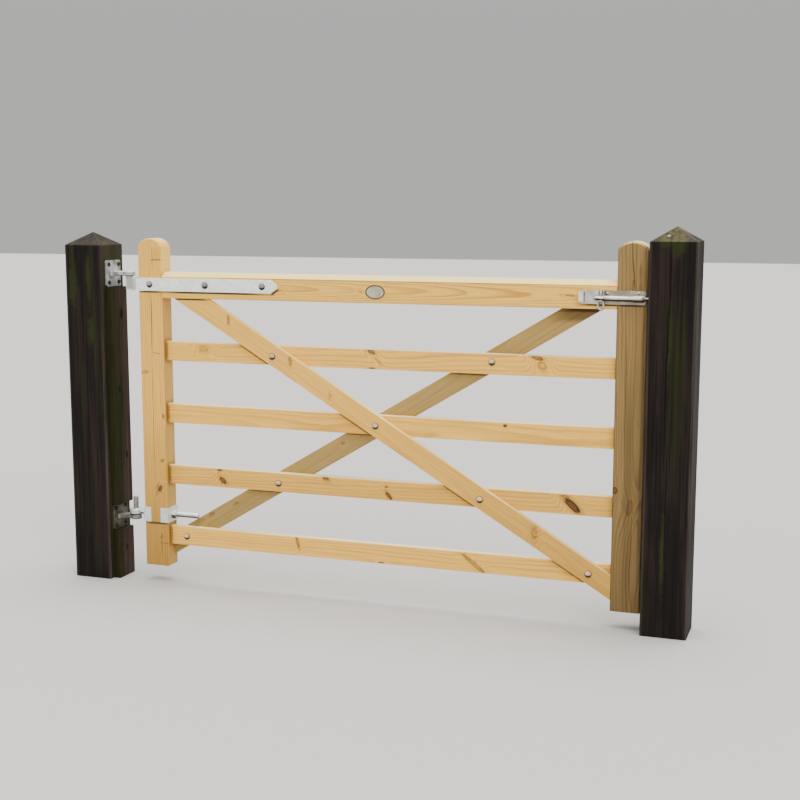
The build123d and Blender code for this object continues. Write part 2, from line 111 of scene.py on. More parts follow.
# Posts
# Two square softwood posts, pressure treated and stained black-brown long ago. Algae greens
# them in streaks, lichen dusts the weathered tops, and the arrises have worn paler.
class Wiring:
    """The nodes of one material, with short ways to add and join them."""

    def __init__(self, name):
        self.material = bpy.data.materials.new(name)
        self.material.use_nodes = True
        self.tree = self.material.node_tree
        self.shader = self.tree.nodes["Principled BSDF"]
        surface = self.add("ShaderNodeTexCoord").outputs
        self.place = surface["Object"]
        self.facing = surface["Normal"]

    def add(self, kind, **settings):
        node = self.tree.nodes.new(kind)
        for name, value in settings.items():
            setattr(node, name, value)
        return node

    def join(self, source, socket):
        if isinstance(source, (int, float, tuple)):
            socket.default_value = source
        else:
            self.tree.links.new(source, socket)

    def maths(self, operation, first, second=0.0):
        node = self.add("ShaderNodeMath", operation=operation)
        self.join(first, node.inputs[0])
        self.join(second, node.inputs[1])
        return node.outputs[0]

    def moved(self, vector, turn=(0, 0, 0), shift=(0, 0, 0), scale=(1, 1, 1), kind="POINT"):
        node = self.add("ShaderNodeMapping", vector_type=kind)
        self.join(vector, node.inputs["Vector"])
        node.inputs["Rotation"].default_value = turn
        node.inputs["Location"].default_value = shift
        node.inputs["Scale"].default_value = scale
        return node.outputs[0]

    def noise(self, vector, scale, detail=3.0, roughness=0.5):
        node = self.add("ShaderNodeTexNoise")
        self.join(vector, node.inputs["Vector"])
        node.inputs["Scale"].default_value = scale
        node.inputs["Detail"].default_value = detail
        node.inputs["Roughness"].default_value = roughness
        return node.outputs["Fac"]

    def axes(self, vector):
        node = self.add("ShaderNodeSeparateXYZ")
        self.join(vector, node.inputs[0])
        return node.outputs

    def vector(self, x, y, z):
        node = self.add("ShaderNodeCombineXYZ")
        for source, socket in zip((x, y, z), node.inputs):
            self.join(source, socket)
        return node.outputs[0]

    def size(self, vector):
        node = self.add("ShaderNodeVectorMath", operation="LENGTH")
        self.join(vector, node.inputs[0])
        return node.outputs["Value"]

    def swayed(self, vector, sway):
        """Shifts the vector along Z by the sway."""
        node = self.add("ShaderNodeVectorMath", operation="ADD")
        self.join(vector, node.inputs[0])
        self.join(self.vector(0.0, 0.0, sway), node.inputs[1])
        return node.outputs[0]

    def spread(self, value, low, high, to_low=0.0, to_high=1.0):
        """Eases a value that runs from low to high into one from to_low to to_high."""
        node = self.add("ShaderNodeMapRange", interpolation_type="SMOOTHSTEP")
        for source, socket in zip((value, low, high, to_low, to_high), node.inputs):
            self.join(source, socket)
        return node.outputs[0]

    def mix(self, amount, first, second, blend="MIX"):
        node = self.add("ShaderNodeMix", data_type="RGBA", blend_type=blend)
        self.join(amount, node.inputs[0])
        for source, socket in ((first, node.inputs[6]), (second, node.inputs[7])):
            self.join((*source, 1) if isinstance(source, tuple) else source, socket)
        return node.outputs[2]

    def shaded(self, colour, shade):
        return self.mix(1.0, colour, self.vector(shade, shade, shade), "MULTIPLY")

    def upward(self):
        return self.axes(self.add("ShaderNodeNewGeometry").outputs["Normal"])[2]

    def ellipse(self, laid, centre, half_length, half_width, slant):
        """How far a point is from a flat ellipse's centre: 1 on its edge, and less inside."""
        return self.size(
            self.moved(
                laid, turn=(0, math.radians(slant), 0), shift=(centre[0], 0, centre[1]),
                scale=(half_length, 1, half_width), kind="TEXTURE",
            )
        )

    def panel(self, laid, centre, half_length, half_width, slant):
        """The same for a flat rectangle."""
        reach = self.moved(
            laid, turn=(0, math.radians(slant), 0), shift=(centre[0], 0, centre[1]),
            scale=(half_length, 1, half_width), kind="TEXTURE",
        )
        along, _, across = self.axes(reach)
        return self.maths("MAXIMUM", self.maths("ABSOLUTE", along), self.maths("ABSOLUTE", across))

    def marked(self, colour, laid, marks, dark_tone, pale_tone=(1.0, 0.98, 0.93)):
        """Adds straight marks to the front, mostly painted shadows with some dirt. Each is (x, z,
        half length, half width, slant, darkness), and one whose darkness is below zero is pale, a
        painted highlight."""
        in_front = self.spread(self.axes(self.facing)[1], -0.9, -0.2, 1.0, 0.0) if marks else 0.0
        for x, z, half_length, half_width, slant, darkness in marks:
            reach = self.panel(laid, (x, z), half_length, half_width, slant)
            tone = dark_tone if darkness > 0 else pale_tone
            cover = self.maths("MULTIPLY", self.spread(reach, 0.5, 1.2, abs(darkness), 0.0), in_front)
            colour = self.mix(cover, colour, tone)
        return colour

    def finish(self, colour, roughness, height, relief, metallic=0.0, specular=0.5):
        """Sets the shader, with a bump as deep as the relief, and gives the material back."""
        self.join(colour, self.shader.inputs["Base Color"])
        self.join(roughness, self.shader.inputs["Roughness"])
        self.join(metallic, self.shader.inputs["Metallic"])
        self.join(specular, self.shader.inputs["Specular IOR Level"])
        bump = self.add("ShaderNodeBump")
        bump.inputs["Distance"].default_value = relief
        self.join(height, bump.inputs["Height"])
        self.join(bump.outputs[0], self.shader.inputs["Normal"])
        return self.material


def clad(node, material):
    """Gives one of the part's own nodes its finish."""
    slots = nodes[node].data.materials
    for i in range(len(slots)):
        slots[i] = material


upright = math.pi / 2
half_post = 0.075
stain_black = (0.0066, 0.0047, 0.0042)
stain_brown = (0.0165, 0.0108, 0.0092)
algae_green = (0.023, 0.027, 0.007)
worn_arris = (0.068, 0.052, 0.048)
bare_end_grain = (0.048, 0.038, 0.028)
worn_hip = (0.13, 0.11, 0.09)
lichen_crust = (0.5, 0.5, 0.27)
crack_dark = (0.0012, 0.001, 0.0008)


def stained_post(name, middle, eaves, cracks, patches, algae, lit_side_tone, lichen, hip_wear, crusts=()):
    """Old stained timber with upright grain. cracks and patches of algae are each (x, z,
    half length, half width), and the face towards the latch takes lit_side_tone in streaks, painted
    lighter as if lit from that side. Lichen colours the middle of the top, with a pale crust at
    each (x, y, z, half width), the top's left slopes are painted darker as shade, and hip_wear
    is how bare the top's four hips are."""
    wood = Wiring(name)
    x, y, z = wood.axes(wood.place)
    grain = wood.noise(wood.moved(wood.place, scale=(170, 170, 3.5)), 1.0, 4, 0.65)
    cloud = wood.noise(wood.moved(wood.place, scale=(16, 16, 2.2)), 1.0, 3)
    streak = wood.noise(wood.moved(wood.place, scale=(38, 38, 1.3), shift=(3.1, 7.7, 0.4)), 1.0, 3, 0.55)
    speck = wood.noise(wood.place, 60, 4, 0.7)
    colour = wood.mix(wood.spread(cloud, 0.4, 0.68), stain_black, stain_brown)
    # Painted light: the face towards the latch is lightened in streaks, as if lit from that side.
    lit_side = wood.spread(x, middle + half_post - 0.0015, middle + half_post - 0.0002)
    lit_streaks = wood.maths("MULTIPLY", lit_side, wood.spread(streak, 0.3, 0.6, 0.5, 1.0))
    colour = wood.mix(lit_streaks, colour, lit_side_tone)
    colour = wood.shaded(colour, wood.spread(grain, 0.3, 0.72, 0.62, 1.6))
    high = wood.spread(z, eaves - 0.95, eaves, 0.25, 1.0)
    damp = wood.maths("MULTIPLY", wood.spread(streak, 0.5, 0.68), high)
    sway = wood.noise(wood.moved(wood.place, scale=(0.1, 0.1, 9)), 1.0, 2)
    sway = wood.maths("MULTIPLY", wood.maths("SUBTRACT", sway, 0.5), 0.012)
    grain_wise = wood.swayed(wood.moved(wood.place, turn=(0, upright, 0)), sway)
    rough_edge = wood.maths("MULTIPLY", wood.maths("SUBTRACT", speck, 0.5), 1.6)
    for patch_x, patch_z, half_length, half_width in patches:
        reach = wood.ellipse(grain_wise, (patch_z, -patch_x), half_length, half_width, 0)
        reach = wood.maths("ADD", reach, rough_edge)
        damp = wood.maths("MAXIMUM", damp, wood.spread(reach, 0.3, 1.3, 1.1, 0.0))
    colour = wood.mix(wood.maths("MULTIPLY", damp, algae), colour, algae_green)
    across = wood.maths("ABSOLUTE", wood.maths("SUBTRACT", x, middle))
    deep = wood.maths("ABSOLUTE", y)
    rub = wood.spread(wood.maths("ADD", across, deep), 0.1405, 0.1455)
    rub = wood.maths("MULTIPLY", rub, wood.spread(grain, 0.35, 0.6, 0.2, 0.65))
    colour = wood.mix(rub, colour, worn_arris)
    top = wood.spread(wood.upward(), 0.4, 0.8)
    top = wood.maths("MULTIPLY", top, wood.spread(speck, 0.35, 0.62, 0.35, 1.0))
    # Painted shade: the top's left slopes take less of the cap's colour and stay darker.
    top = wood.maths("MULTIPLY", top, wood.spread(wood.axes(wood.facing)[0], -0.4, -0.1, 0.5, 1.0))
    from_middle = wood.maths("ADD", across, wood.maths("MULTIPLY", rough_edge, 0.03))
    cap = wood.mix(wood.spread(from_middle, 0.03, 0.055, 1.0, 0.0), bare_end_grain, lichen)
    for crust_x, crust_y, crust_z, half_width in crusts:
        reach = wood.moved(
            wood.place, shift=(crust_x, crust_y, crust_z), scale=(half_width,) * 3, kind="TEXTURE"
        )
        reach = wood.maths("ADD", wood.size(reach), rough_edge)
        cap = wood.mix(wood.spread(reach, 0.5, 1.2, 0.9, 0.0), cap, lichen_crust)
    hip = wood.maths("ABSOLUTE", wood.maths("SUBTRACT", across, deep))
    cap = wood.mix(wood.spread(hip, 0.001, 0.006, hip_wear, 0.0), cap, worn_hip)
    colour = wood.mix(top, colour, cap)
    height = grain
    for crack_x, crack_z, half_length, half_width in cracks:
        reach = wood.ellipse(grain_wise, (crack_z, -crack_x), half_length, half_width, 0)
        gap = wood.spread(reach, 0.7, 1.2, 1.0, 0.0)
        colour = wood.mix(wood.maths("MULTIPLY", gap, 0.9), colour, crack_dark)
        height = wood.maths("SUBTRACT", height, wood.maths("MULTIPLY", gap, 2.0))
    return wood.finish(colour, wood.spread(cloud, 0.3, 0.7, 0.62, 0.82), height, 0.0011, specular=0.12)


clad(
    "hanging_post",
    stained_post(
        "hanging_post_stain", middle=0.0, eaves=1.241,
        cracks=[(-0.008, 1.03, 0.2, 0.0016), (0.003, 0.7, 0.2, 0.0012), (-0.03, 0.36, 0.26, 0.001)],
        patches=[(0.022, 1.12, 0.12, 0.014), (0.026, 0.93, 0.06, 0.018), (-0.045, 1.1, 0.1, 0.02)],
        algae=0.8, lit_side_tone=(0.034, 0.03, 0.014), lichen=(0.034, 0.029, 0.019), hip_wear=0.15,
    ),
)
clad(
    "latch_post",
    stained_post(
        "latch_post_stain", middle=2.121, eaves=1.271,
        cracks=[
            (2.1125, 1.14, 0.15, 0.0015), (2.109, 0.8, 0.25, 0.0018), (2.118, 0.4, 0.22, 0.0012),
            (2.15, 0.25, 0.2, 0.001),
        ],
        patches=[
            (2.1165, 0.98, 0.15, 0.008), (2.138, 1.255, 0.035, 0.024), (2.1, 1.268, 0.015, 0.03),
            (2.112, 0.27, 0.14, 0.009),
        ],
        algae=0.85, lit_side_tone=(0.013, 0.009, 0.007), lichen=(0.092, 0.083, 0.036), hip_wear=0.8,
        crusts=[(2.1015, -0.046, 1.289, 0.0055)],
    ),
)

# Packing
# Two boards nailed to the hanging post's inner face, above and below the lower hook. They
# are rough sawn, greener in front and painted darker there as shade beside the post, and
# mauve-brown behind.
packing_face = 0.103
packing_green = (0.017, 0.0165, 0.0055)
packing_mauve = (0.042, 0.027, 0.021)
packing = Wiring("packing_stain")
packing_y = packing.axes(packing.place)[1]
packing_grain = packing.noise(packing.moved(packing.place, scale=(190, 190, 4)), 1.0, 4, 0.7)
packing_cloud = packing.noise(packing.moved(packing.place, scale=(16, 16, 2.4)), 1.0, 3)
# The front of the boards is greener and painted darker, as shade beside the post.
packing_side = packing.maths(
    "ADD", packing_y, packing.maths("MULTIPLY", packing.maths("SUBTRACT", packing_cloud, 0.5), 0.12)
)
packing_colour = packing.mix(packing.spread(packing_side, -0.03, 0.025), packing_green, packing_mauve)
packing_colour = packing.shaded(packing_colour, packing.spread(packing_grain, 0.3, 0.72, 0.55, 1.5))
packing_height = packing_grain
for knot_y, knot_z, knot_size in (
    (0.0075, 0.989, 0.0125), (-0.02, 0.71, 0.009), (0.018, 0.46, 0.008), (0.0, 0.11, 0.007),
):
    knot_reach = packing.moved(
        packing.place, shift=(packing_face, knot_y, knot_z), scale=(1, knot_size, knot_size * 1.7),
        kind="TEXTURE",
    )
    knot_reach = packing.size(knot_reach)
    knot_stain = packing.spread(knot_reach, 0.6, 1.3, 0.8, 0.0)
    packing_colour = packing.mix(knot_stain, packing_colour, crack_dark)
    knot_hollow = packing.spread(knot_reach, 0.8, 1.2, 0.6, 0.0)
    packing_height = packing.maths("SUBTRACT", packing_height, knot_hollow)
packing_wood = packing.finish(packing_colour, 0.8, packing_height, 0.0013, specular=0.12)
clad("upper_packing", packing_wood)
clad("lower_packing", packing_wood)


def pick(piece, test, kind="FACE"):
    """Opens the piece in edit mode with only the chosen faces, edges or corners selected."""
    bpy.context.view_layer.objects.active = piece
    bpy.ops.object.mode_set(mode="EDIT")
    bpy.ops.mesh.select_mode(type=kind)
    bpy.ops.mesh.select_all(action="DESELECT")
    shell = bmesh.from_edit_mesh(piece.data)
    for item in {"FACE": shell.faces, "EDGE": shell.edges, "VERT": shell.verts}[kind]:
        if test(item):
            item.select_set(True)
    bmesh.update_edit_mesh(piece.data)


def start(primitive, **settings):
    """Adds a primitive with nothing else selected, and gives it back."""
    bpy.ops.object.select_all(action="DESELECT")
    primitive(**settings)
    return bpy.context.object


def faces_up(face):
    return face.normal.z > 0.9


def raise_face(rise, narrow):
    """Extrudes the selected face along Z, then draws it in."""
    bpy.ops.mesh.extrude_region_move(TRANSFORM_OT_translate={"value": (0, 0, rise)})
    bpy.ops.transform.resize(value=(narrow, narrow, 1))


def dome(radius, rise, edge, sides=28):
    """A round head on the plane Z = 0, domed towards +Z."""
    head = start(
        bpy.ops.mesh.primitive_cylinder_add, vertices=sides, radius=radius, depth=edge * 2,
        location=(0, 0, 0),
    )
    pick(head, faces_up)
    lean = [math.radians(angle) for angle in (0, 22, 42, 60, 76)]
    for low, high in zip(lean, lean[1:]):
        raise_face((rise - edge) * (math.sin(high) - math.sin(low)), math.cos(high) / math.cos(low))
    bpy.ops.object.mode_set(mode="OBJECT")
    return head


smooth_under = math.radians(35)


def copies(model, name, places, turn):
    """Sets one copy of the model at each place, turned, and joins them as one piece."""
    made = []
    for place in places:
        bpy.ops.object.select_all(action="DESELECT")
        model.select_set(True)
        bpy.context.view_layer.objects.active = model
        bpy.ops.object.duplicate()
        twin = bpy.context.object
        twin.location = place
        twin.rotation_euler = turn
        made.append(twin)
    bpy.ops.object.select_all(action="DESELECT")
    for twin in made:
        twin.select_set(True)
    bpy.context.view_layer.objects.active = made[0]
    if len(made) > 1:
        bpy.ops.object.join()
    piece = bpy.context.object
    bpy.ops.object.transform_apply(location=True, rotation=True, scale=True)
    bpy.ops.object.shade_smooth_by_angle(angle=smooth_under)
    piece.name = name
    return piece


def scrap(model):
    """Removes the model that the copies were made from."""
    bpy.data.objects.remove(model, do_unlink=True)


def dress(piece, material, body):
    """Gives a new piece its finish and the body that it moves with."""
    piece.data.materials.clear()
    piece.data.materials.append(material)
    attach(piece, body)


to_front = (math.pi / 2, 0, 0)
to_back = (-math.pi / 2, 0, 0)
to_latch = (0, math.pi / 2, 0)
# The dark tone of the marks on steel, mostly painted shade with some dirt.
steel_shade_and_dirt = (0.035, 0.028, 0.022)


def steel(
    name, bright, dull, roughness, metallic, grime=0.0, grime_colour=(0.05, 0.035, 0.02), under=0.12,
    rim=None, marks=(), turned_edge=1.0,
):
    """Coated steel: a mottled coat with faint crystal patches, and grime where it is old.
    Undersides are painted dark as shade, down to under times the colour, and upward faces are
    painted brighter as a highlight. Outside the rim, an ellipse at (x, z) with two half sizes,
    the coat is painted dark as a shaded outline, and marks are as on wood. Where a head turns
    away from the front or faces down it is painted darker as shade, down to turned_edge times."""
    coat = Wiring(name)
    patch = coat.add("ShaderNodeTexVoronoi")
    coat.join(coat.place, patch.inputs["Vector"])
    patch.inputs["Scale"].default_value = 110
    crystal = coat.axes(patch.outputs["Color"])[0]
    mottle = coat.noise(coat.place, 34, 4, 0.6)
    colour = coat.mix(coat.spread(mottle, 0.36, 0.66), dull, bright)
    colour = coat.shaded(colour, coat.spread(crystal, 0.0, 1.0, 0.9, 1.05))
    if grime:
        stain = coat.noise(coat.moved(coat.place, shift=(4, 9, 2)), 22, 5, 0.7)
        stained = coat.spread(stain, 0.62 - grime * 0.3, 0.82 - grime * 0.3, 0.0, 0.9)
        colour = coat.mix(stained, colour, grime_colour)
    colour = coat.marked(colour, coat.place, marks, steel_shade_and_dirt)
    # Painted shade: outside the rim the coat is darkened as a shaded outline.
    if rim:
        reach = coat.ellipse(coat.place, rim[:2], rim[2], rim[3], 0)
        colour = coat.mix(coat.spread(reach, 0.9, 1.0), colour, grime_colour)
    # Painted shade on faces that look down, and a painted highlight on faces that look up.
    colour = coat.shaded(colour, coat.spread(coat.upward(), -0.26, -0.01, under, 1.0))
    colour = coat.shaded(colour, coat.spread(coat.upward(), 0.1, 0.6, 1.0, 1.45))
    # Painted shade where a head turns away from the front, and on its lower half.
    if turned_edge < 1.0:
        turned = coat.axes(coat.facing)
        colour = coat.shaded(colour, coat.spread(turned[1], -0.97, -0.72, 1.0, turned_edge))
        colour = coat.shaded(colour, coat.spread(turned[2], -0.2, 0.0, turned_edge, 1.0))
    sheen = coat.spread(mottle, 0.3, 0.7, roughness + 0.08, roughness - 0.06)
    return coat.finish(colour, sheen, coat.noise(coat.place, 900, 2), 0.00008, metallic)


nail_steel = steel("nail_steel", (0.012, 0.009, 0.007), (0.006, 0.005, 0.004), roughness=0.8, metallic=0.0)
nail = dome(radius=0.0032, rise=0.0011, edge=0.0006, sides=16)
nail_side = 0.031
nail_places = [(packing_face, 0.0105, 0.8995), (packing_face, 0.0105, 0.8875)]
for nail_level in (0.036, 0.142, 0.318, 0.6, 1.046):
    nail_places += [(packing_face, -nail_side, nail_level), (packing_face, nail_side, nail_level)]
packing_nails = copies(nail, "packing_nails", nail_places, to_latch)
scrap(nail)
dress(packing_nails, nail_steel, "posts")

# Hook plates and hooks
# Forged hooks welded to square plates, hot dip galvanised. Each plate is held by four coach
# screws with dark hexagon heads. The lower plate is the dirtier one.
plate_face = 0.081
upper_plate_level = 1.138
lower_plate_level = 0.23
plate_coat = steel(
    "plate_coat", (0.53, 0.53, 0.52), (0.29, 0.29, 0.28), roughness=0.5, metallic=0.35, grime=0.35
)
clad("upper_hook_plate", plate_coat)
lower_plate_coat = steel(
    "lower_plate_coat", (0.11, 0.095, 0.068), (0.045, 0.038, 0.027), roughness=0.6, metallic=0.2,
    grime=0.7,
)
clad("lower_hook_plate", lower_plate_coat)
upper_hook_coat = steel(
    "upper_hook_coat", (0.66, 0.66, 0.67), (0.44, 0.44, 0.45), roughness=0.42, metallic=0.35,
    # Painted shade below the arm by the plate and in two lines along the arm.
    marks=[
        (0.097, upper_plate_level, 0.014, 0.01, 0, 0.45), (0.138, 1.1395, 0.026, 0.0016, 0, 0.4),
        (0.138, 1.1312, 0.03, 0.0022, 0, 0.65),
    ],
)
clad("upper_hook", upper_hook_coat)
lower_hook_coat = steel(
    "lower_hook_coat", (0.34, 0.33, 0.33), (0.17, 0.16, 0.15), roughness=0.45, metallic=0.4, grime=0.35
)
clad("lower_hook", lower_hook_coat)
screw_radius = 0.0075
screw_depth = 0.009
screw_offset = 0.0325
screw_head = start(
    bpy.ops.mesh.primitive_cylinder_add, vertices=6, radius=screw_radius, depth=screw_depth,
    location=(0, 0, 0), rotation=(0, 0, math.pi / 6),
)
bpy.ops.object.transform_apply(rotation=True)
pick(screw_head, faces_up)
raise_face(rise=0.0009, narrow=0.86)
raise_face(rise=0.0004, narrow=0.5)
bpy.ops.object.mode_set(mode="OBJECT")
screw_steel = steel(
    "screw_steel", (0.022, 0.018, 0.015), (0.009, 0.008, 0.007), roughness=0.6, metallic=0.3
)
sides = (-screw_offset, screw_offset)
for name, level in (("upper_plate_screws", upper_plate_level), ("lower_plate_screws", lower_plate_level)):
    places = [(plate_face, y, level + z) for y in sides for z in sides]
    dress(copies(screw_head, name, places, to_latch), screw_steel, "posts")
scrap(screw_head)


# Stiles
# The leaf's two uprights, planed softwood with rounded tops. The hanging stile is fresh and
# golden with one long split, and the shutting stile is darker, browner and streaked.
knot_halo = (0.42, 0.18, 0.03)
knot_brown = (0.15, 0.058, 0.014)
knot_bark = (0.045, 0.017, 0.006)
# The tone of the painted highlight on upward faces.
top_highlight_tone = (1.0, 0.8, 0.33)
dull_edge = (0.52, 0.31, 0.07)
pale_edge = (1.0, 0.67, 0.19)
rail_shade = (0.09, 0.05, 0.012)
# The dark tone of the straight lines, mostly painted shadow with some dirt.
shade_and_dirt = (0.022, 0.012, 0.004)
split_dark = (0.07, 0.03, 0.01)
rail_pitch = 0.2285
below_rails = 0.06075


def timber(
    name, slope, heart, tilt, tones, figure, knots=(), splits=(), light_shade_and_dirt=(), top_highlight=0.5, rings=0.0075,
    sway=0.03, side=None, low=0.88,
):
    """Planed wood whose grain lies at the slope. heart and tilt place the middle of its
    rings. knots are (x, z, half length, half width, slant to the grain, darkness), splits
    have no darkness, and the straight lines are the same: mostly painted shadows where parts
    meet and under fittings, some dirt, and painted highlights where darkness is below zero.
    Upward faces are painted paler, a painted highlight of the given amount. low is how light
    the wood is at the ground, a painted shade that darkens it downward. Beyond x = side is
    the stile's edge, dull with painted shadow where each rail meets it, and paler near its top."""
    light, dark, cast = tones
    wood = Wiring(name + "_wood")
    laid = wood.moved(wood.place, turn=(0, slope, 0))

    def grain_wise(x, z):
        return x * math.cos(slope) + z * math.sin(slope), z * math.cos(slope) - x * math.sin(slope)

    wander = wood.noise(wood.moved(laid, scale=(1.5, 6, 6)), 1.0, 4, 0.45)
    bulge = 0.0
    lively = figure
    reaches = []
    for x, z, half_length, half_width, slant, darkness in knots:
        reach = wood.ellipse(laid, grain_wise(x, z), half_length, half_width, slant)
        reaches.append((reach, darkness))
        bulge = wood.maths("ADD", bulge, wood.spread(reach, 0.0, 4.5, half_width * 2.2, 0.0))
        lively = wood.maths("MAXIMUM", lively, wood.spread(reach, 0.8, 4.0, 1.0, 0.0))
    near_heart = wood.moved(laid, turn=(0, tilt[1], tilt[0]), shift=(0, heart[0], heart[1]))
    _, ring_y, ring_z = wood.axes(near_heart)
    radius = wood.size(wood.vector(0.0, ring_y, ring_z))
    radius = wood.maths("ADD", radius, wood.maths("MULTIPLY", wander, sway))
    radius = wood.maths("ADD", radius, bulge)
    ring = wood.maths("FRACT", wood.maths("DIVIDE", radius, rings))
    line = wood.maths("MULTIPLY", wood.spread(ring, 0.3, 0.9), wood.spread(ring, 0.91, 1.0, 1.0, 0.0))
    year = wood.noise(wood.vector(wood.maths("MULTIPLY", radius, 95.0), 0.0, 0.0), 1.0, 1)
    line = wood.maths("MULTIPLY", line, wood.spread(year, 0.35, 0.65, 0.45, 1.0))
    fibre = wood.noise(wood.moved(laid, scale=(7, 420, 420)), 1.0, 3, 0.6)
    patch = wood.noise(wood.moved(laid, scale=(2.0, 10, 10), shift=(1.3, 0.2, 4.1)), 1.0, 2)
    colour = wood.mix(wood.maths("MULTIPLY", line, lively), light, dark)
    colour = wood.mix(wood.spread(patch, 0.42, 0.72, 0.0, 0.6), colour, cast)
    colour = wood.shaded(colour, wood.spread(fibre, 0.28, 0.72, 0.86, 1.1))
    height = wood.maths("ADD", wood.maths("MULTIPLY", fibre, 0.5), wood.maths("MULTIPLY", line, 0.3))
    for reach, darkness in reaches:
        halo = wood.spread(reach, 1.1, 2.4, 1.0, 0.0)
        halo = wood.maths("MULTIPLY", wood.spread(reach, 0.7, 1.1), halo)
        colour = wood.mix(wood.maths("MULTIPLY", halo, darkness * 0.5), colour, knot_halo)
        colour = wood.mix(wood.spread(reach, 0.9, 1.2, darkness, 0.0), colour, knot_brown)
        bark = wood.spread(reach, 0.95, 1.3, 1.0, 0.0)
        bark = wood.maths("MULTIPLY", wood.spread(reach, 0.45, 0.85), bark)
        colour = wood.mix(wood.maths("MULTIPLY", bark, darkness * 0.8), colour, knot_bark)
    # Painted highlight: upward faces are paled towards a light cream.
    pale = wood.spread(wood.upward(), 0.45, 0.95, 0.0, top_highlight)
    colour = wood.mix(pale, colour, top_highlight_tone)
    # Painted shade: the wood darkens towards the ground, down to low times its colour.
    colour = wood.shaded(colour, wood.spread(wood.axes(wood.place)[2], 0.0, 0.8, low, 1.0))
    if side:
        edge_x, edge_y, edge_z = wood.axes(wood.place)
        edge = wood.spread(edge_x, side, side + 0.0008)
        edge_tone = wood.mix(wood.spread(edge_z, 1.12, 1.17), dull_edge, pale_edge)
        cover = wood.maths("MULTIPLY", edge, wood.spread(edge_z, 1.12, 1.17, 0.8, 0.6))
        colour = wood.mix(cover, colour, edge_tone)
        # Painted shadow on the stile's side face where each rail meets it.
        rail_step = wood.maths("DIVIDE", wood.maths("SUBTRACT", edge_z, below_rails), rail_pitch)
        from_rail = wood.maths("SUBTRACT", wood.maths("FRACT", rail_step), 0.5)
        shade = wood.spread(wood.maths("ABSOLUTE", from_rail), 0.12, 0.24, 0.7, 0.0)
        shade = wood.maths("MULTIPLY", shade, wood.spread(edge_y, -0.034, -0.02))
        shade = wood.maths(
            "MULTIPLY", shade, wood.spread(wood.maths("ABSOLUTE", edge_y), 0.02, 0.034, 1.0, 0.0)
        )
        colour = wood.mix(wood.maths("MULTIPLY", shade, edge), colour, rail_shade)
    # Painted shadows and highlights in straight lines, with some dirt.
    laid_light_shade_and_dirt = [(*grain_wise(*stain[:2]), *stain[2:]) for stain in light_shade_and_dirt]
    colour = wood.marked(colour, laid, laid_light_shade_and_dirt, shade_and_dirt)
    waver = wood.maths("MULTIPLY", wood.maths("SUBTRACT", wander, 0.5), 0.03)
    wavering = wood.swayed(laid, waver)
    for x, z, half_length, half_width, slant in splits:
        reach = wood.ellipse(wavering, grain_wise(x, z), half_length, half_width, slant)
        gap = wood.spread(reach, 0.7, 1.3, 1.0, 0.0)
        colour = wood.mix(wood.maths("MULTIPLY", gap, 0.85), colour, split_dark)
        height = wood.maths("SUBTRACT", height, gap)
    return wood.finish(colour, 0.62, height, 0.0007, specular=0.3)


fresh_tones = ((1.0, 0.56, 0.095), (0.58, 0.23, 0.022), (0.92, 0.53, 0.07))
warm_tones = ((0.94, 0.52, 0.09), (0.58, 0.25, 0.03), (0.84, 0.46, 0.07))
shaded_tones = ((0.44, 0.285, 0.085), (0.23, 0.135, 0.034), (0.35, 0.25, 0.07))
darker_tones = ((0.3, 0.185, 0.058), (0.12, 0.06, 0.016), (0.18, 0.125, 0.036))
clad(
    "hanging_stile",
    timber(
        "hanging_stile", upright, heart=(0.05, 0.33), tilt=(0.004, 0.012), tones=warm_tones, figure=0.7,
        # The long thin knot at z 0.219 is a dark line just under the saddles.
        knots=[
            (0.2785, 1.1906, 0.018, 0.0024, 90, 0.5), (0.2707, 0.352, 0.011, 0.0065, 30, 0.8),
            (0.2915, 0.622, 0.006, 0.004, 0, 0.6), (0.2835, 0.457, 0.007, 0.004, 60, 0.55),
            (0.272, 0.219, 0.046, 0.0018, 87, 0.55), (0.289, 0.146, 0.02, 0.0014, 90, 0.4),
            (0.219, 0.782, 0.016, 0.005, 80, 0.35),
        ],
        splits=[
            (0.2535, 0.955, 0.11, 0.0015, 0), (0.252, 0.6, 0.2, 0.0008, 0),
            (0.273, 0.14, 0.04, 0.0012, 0), (0.262, 1.2, 0.04, 0.0008, 0),
            (0.262, 0.362, 0.015, 0.0012, 35), (0.278, 0.343, 0.012, 0.001, -40),
            (0.259, 0.333, 0.012, 0.001, 15), (0.272, 0.853, 0.0011, 0.016, 10),
            (0.2715, 0.171, 0.012, 0.0009, 25), (0.278, 0.171, 0.011, 0.0009, -25),
        ],
        # Painted shadows under the strap and the saddles, beside the top rail and near the top.
        light_shade_and_dirt=[
            (0.252, 1.0755, 0.0042, 0.05, 0, 0.9), (0.252, 0.2215, 0.004, 0.05, 0, 0.8),
            (0.2975, 1.1, 0.05, 0.003, 0, 0.5), (0.28, 1.2145, 0.024, 0.018, 0, 0.13),
        ],
        side=0.298, low=0.47,
    ),
)
